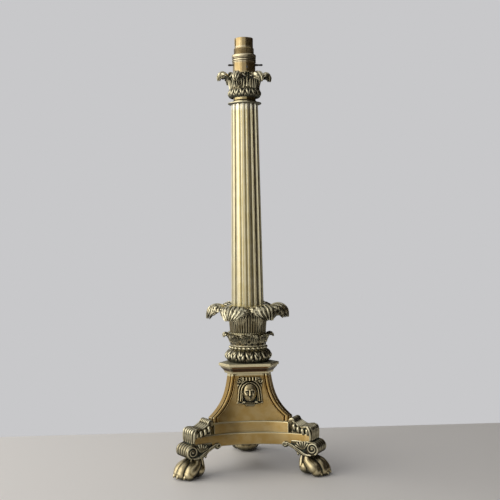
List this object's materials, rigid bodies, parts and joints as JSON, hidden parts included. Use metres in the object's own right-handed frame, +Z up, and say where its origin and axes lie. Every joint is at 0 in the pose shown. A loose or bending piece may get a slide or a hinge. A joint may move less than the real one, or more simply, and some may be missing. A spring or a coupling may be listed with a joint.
{
  "type": "table lamp",
  "caption": "Column table lamp base: fluted column between leaf capitals on a three-cornered plinth with masks and paw feet, with a bayonet push-bar lampholder.",
  "frame": {"origin": "on the lamp's axis, at the level of the table it stands on", "axes": "+Z up along the column; the front panel faces -Y; the legs point to +Y, front left and front right"},
  "size_m": [0.2168, 0.1922, 0.5988],
  "materials": {
    "polished_brass": "polished, lacquered, toned dark in the flutes",
    "bronzed_brass": "brushed and bronzed",
    "cast_brass": "cast, antiqued dark in the recesses and rubbed bright on the high points",
    "lampholder_brass": "pressed and polished",
    "zinc_plated_steel": "zinc plated",
    "glazed_porcelain": "glazed",
    "black_moulding": "moulded phenolic",
    "cable_bush_plastic": "moulded nylon"
  },
  "bodies": {
    "root": {"barrel": "lampholder_brass", "base_platform": "bronzed_brass", "bead_ring": "cast_brass", "clamp_ring": "lampholder_brass", "column": "polished_brass", "contact_spring_front": "zinc_plated_steel", "contact_spring_rear": "zinc_plated_steel", "foot_bolts": "zinc_plated_steel", "holder_housing": "lampholder_brass", "holder_screw": "zinc_plated_steel", "insulator_core": "glazed_porcelain", "knop": "cast_brass", "leaf_collar": "cast_brass", "leg_left": "cast_brass", "leg_rear": "cast_brass", "leg_right": "cast_brass", "lower_capital": "cast_brass", "lower_nut": "zinc_plated_steel", "lower_washer": "zinc_plated_steel", "mask_front": "cast_brass", "mask_left": "cast_brass", "mask_pins": "zinc_plated_steel", "mask_right": "cast_brass", "neck_disc": "cast_brass", "neck_ring": "polished_brass", "paw_left": "cast_brass", "paw_rear": "cast_brass", "paw_right": "cast_brass", "plinth_body": "bronzed_brass", "plinth_cap": "bronzed_brass", "rod_bush": "cable_bush_plastic", "terminal_screws": "zinc_plated_steel", "tie_rod": "zinc_plated_steel", "top_capital": "cast_brass", "top_nut": "zinc_plated_steel", "top_washer": "zinc_plated_steel"},
    "switch_bar": {"switch_bar": "black_moulding"},
    "contact_front": {"contact_front": "lampholder_brass"},
    "contact_rear": {"contact_rear": "lampholder_brass"},
    "shade_ring": {"shade_ring": "lampholder_brass"}
  },
  "joints": [
    {"name": "switch_slide", "type": "slide", "parent": "root", "child": "switch_bar", "axis": [1, 0, 0], "range_m": [-0.0036, 0]},
    {"name": "contact_front_press", "type": "slide", "parent": "root", "child": "contact_front", "axis": [0, 0, -1], "range_m": [0, 0.003], "stiffness_N_per_m": 1000, "deforming": ["contact_spring_front"]},
    {"name": "contact_rear_press", "type": "slide", "parent": "root", "child": "contact_rear", "axis": [0, 0, -1], "range_m": [0, 0.003], "stiffness_N_per_m": 1000, "deforming": ["contact_spring_rear"]},
    {"name": "shade_ring_lift", "type": "slide", "parent": "root", "child": "shade_ring", "axis": [0, 0, 1], "range_m": [0, 0.008]}
  ]
}
